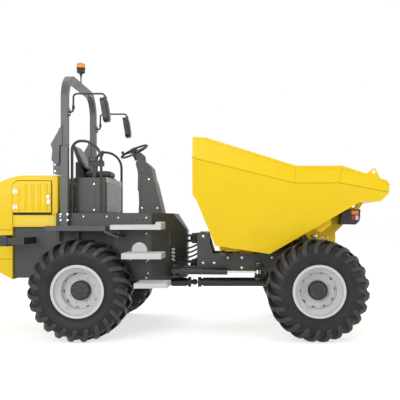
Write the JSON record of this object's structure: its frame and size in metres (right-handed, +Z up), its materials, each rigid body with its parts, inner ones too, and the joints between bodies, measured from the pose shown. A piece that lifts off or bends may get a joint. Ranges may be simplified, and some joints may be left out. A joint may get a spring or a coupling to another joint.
{
  "type": "site dumper",
  "caption": "Articulated site dumper with a forward-tipping yellow skip, folding roll bar, open driver's seat and large lugged tyres.",
  "frame": {"origin": "on the ground under the machine, at mid length on the centreline", "axes": "+X forward to the nose of the skip, +Y to the driver's left, +Z up"},
  "size_m": [4.95, 2.476, 3.4808],
  "materials": {
    "body_yellow": "gloss",
    "chassis_grey": "satin",
    "rops_grey": "satin",
    "axle_black": "satin",
    "rim_grey": "satin",
    "tyre_rubber": "matte",
    "step_metal": "satin",
    "black_plastic": "matte",
    "seat_fabric": "matte",
    "chrome_rod": "polished",
    "beacon_orange": "gloss",
    "disc_white": "gloss",
    "engine_grey": "rough"
  },
  "bodies": {
    "rear_chassis": {"rear_frame": "chassis_grey", "steering_bracket": "chassis_grey", "rear_axle": "axle_black", "rear_prop_shaft": "axle_black", "engine_block": "engine_grey", "counterweight": "body_yellow", "engine_hood": "body_yellow", "deck": "chassis_grey", "steps_left": "step_metal", "steps_right": "step_metal", "speed_disc": "disc_white", "rear_lamp_left": "black_plastic", "rear_lamp_right": "black_plastic", "console": "chassis_grey", "steering_column": "chassis_grey", "seat_base": "chassis_grey", "seat_mount": "black_plastic", "seat_cushion": "seat_fabric", "seat_back": "seat_fabric", "guard_hoop_left": "axle_black", "guard_hoop_right": "axle_black", "rops_base": "rops_grey"},
    "roll_bar": {"rops_hoop": "rops_grey", "beacon_base": "black_plastic", "beacon_dome": "beacon_orange", "mirror_left": "black_plastic", "mirror_right": "black_plastic"},
    "steering_wheel": {"steering_wheel": "black_plastic"},
    "side_door_left": {"side_door_left": "body_yellow"},
    "side_door_right": {"side_door_right": "body_yellow"},
    "knuckle": {"knuckle": "axle_black"},
    "front_chassis": {"front_frame": "chassis_grey", "front_axle": "axle_black", "front_prop_shaft": "axle_black"},
    "skip": {"skip": "body_yellow", "skip_cradle": "body_yellow", "skip_underframe": "body_yellow", "headlamp_left": "black_plastic", "headlamp_right": "black_plastic"},
    "tip_barrel_left": {"tip_barrel_left": "axle_black"},
    "tip_barrel_right": {"tip_barrel_right": "axle_black"},
    "tip_rod_left": {"tip_rod_left": "chrome_rod"},
    "tip_rod_right": {"tip_rod_right": "chrome_rod"},
    "steering_swivel": {"steering_swivel": "axle_black"},
    "steering_barrel": {"steering_barrel": "axle_black"},
    "steering_rod": {"steering_rod": "chrome_rod"},
    "wheel_rear_left": {"tyre_rear_left": "tyre_rubber", "rim_rear_left": "rim_grey", "hub_rear_left": "axle_black"},
    "wheel_rear_right": {"tyre_rear_right": "tyre_rubber", "rim_rear_right": "rim_grey", "hub_rear_right": "axle_black"},
    "wheel_front_left": {"tyre_front_left": "tyre_rubber", "rim_front_left": "rim_grey", "hub_front_left": "axle_black"},
    "wheel_front_right": {"tyre_front_right": "tyre_rubber", "rim_front_right": "rim_grey", "hub_front_right": "axle_black"}
  },
  "joints": [
    {"name": "roll_bar_fold", "type": "hinge", "parent": "rear_chassis", "child": "roll_bar", "pos_m": [-1.425, 0, 2.181], "axis": [0, -1, 0], "range_deg": [0, 95]},
    {"name": "steering_wheel_turn", "type": "hinge", "parent": "rear_chassis", "child": "steering_wheel", "pos_m": [-0.62, 0, 2.308], "axis": [-0.4384, 0, 0.8988], "continuous": true},
    {"name": "side_door_left_open", "type": "hinge", "parent": "rear_chassis", "child": "side_door_left", "pos_m": [-1.982, 0.714, 1.7], "axis": [0, 0, 1], "range_deg": [0, 100]},
    {"name": "side_door_right_open", "type": "hinge", "parent": "rear_chassis", "child": "side_door_right", "pos_m": [-1.982, -0.714, 1.7], "axis": [0, 0, -1], "range_deg": [0, 100]},
    {"name": "articulation", "type": "hinge", "parent": "rear_chassis", "child": "knuckle", "pos_m": [0.175, 0, 0.9945], "axis": [0, 0, 1], "range_deg": [-30, 30]},
    {"name": "oscillation", "type": "hinge", "parent": "knuckle", "child": "front_chassis", "pos_m": [0.275, 0, 0.995], "axis": [1, 0, 0], "range_deg": [-10, 10]},
    {"name": "skip_tip", "type": "hinge", "parent": "front_chassis", "child": "skip", "pos_m": [1.705, 0, 1.203], "axis": [0, 1, 0], "range_deg": [0, 55]},
    {"name": "tip_barrel_left_swing", "type": "hinge", "parent": "front_chassis", "child": "tip_barrel_left", "pos_m": [1.48, 0.2, 0.64], "axis": [0, 1, 0], "range_deg": [0, 42]},
    {"name": "tip_rod_left_slide", "type": "slide", "parent": "tip_barrel_left", "child": "tip_rod_left", "axis": [-0.8888, 0, 0.4583], "range_m": [0, 0.515]},
    {"name": "tip_barrel_right_swing", "type": "hinge", "parent": "front_chassis", "child": "tip_barrel_right", "pos_m": [1.48, -0.2, 0.64], "axis": [0, 1, 0], "range_deg": [0, 42]},
    {"name": "tip_rod_right_slide", "type": "slide", "parent": "tip_barrel_right", "child": "tip_rod_right", "axis": [-0.8888, 0, 0.4583], "range_m": [0, 0.515]},
    {"name": "steering_cylinder_yaw", "type": "hinge", "parent": "rear_chassis", "child": "steering_swivel", "pos_m": [-0.041, -0.52, 0.774], "axis": [0, 0, 1], "range_deg": [-26, 26]},
    {"name": "steering_cylinder_pitch", "type": "hinge", "parent": "steering_swivel", "child": "steering_barrel", "pos_m": [-0.041, -0.52, 0.774], "axis": [0, 1, 0], "range_deg": [-6, 6]},
    {"name": "steering_rod_slide", "type": "slide", "parent": "steering_barrel", "child": "steering_rod", "axis": [0.9999, 0, -0.0116], "range_m": [-0.29, 0.29]},
    {"name": "wheel_rear_left_spin", "type": "hinge", "parent": "rear_chassis", "child": "wheel_rear_left", "pos_m": [-1.072, 0.995, 0.59], "axis": [0, 1, 0], "continuous": true},
    {"name": "wheel_rear_right_spin", "type": "hinge", "parent": "rear_chassis", "child": "wheel_rear_right", "pos_m": [-1.072, -0.995, 0.59], "axis": [0, 1, 0], "continuous": true},
    {"name": "wheel_front_left_spin", "type": "hinge", "parent": "front_chassis", "child": "wheel_front_left", "pos_m": [1.675, 0.995, 0.59], "axis": [0, 1, 0], "continuous": true},
    {"name": "wheel_front_right_spin", "type": "hinge", "parent": "front_chassis", "child": "wheel_front_right", "pos_m": [1.675, -0.995, 0.59], "axis": [0, 1, 0], "continuous": true}
  ],
  "couplings": [
    {"joint": "tip_barrel_left_swing", "follows": "skip_tip", "ratio": 0.7386},
    {"joint": "tip_rod_left_slide", "follows": "skip_tip", "m_per_rad": 0.5293},
    {"joint": "tip_barrel_right_swing", "follows": "skip_tip", "ratio": 0.7386},
    {"joint": "tip_rod_right_slide", "follows": "skip_tip", "m_per_rad": 0.5293},
    {"joint": "steering_cylinder_yaw", "follows": "articulation", "ratio": 0.8182},
    {"joint": "steering_cylinder_pitch", "follows": "oscillation", "ratio": 0.5014},
    {"joint": "steering_rod_slide", "follows": "articulation", "m_per_rad": 0.5075}
  ]
}
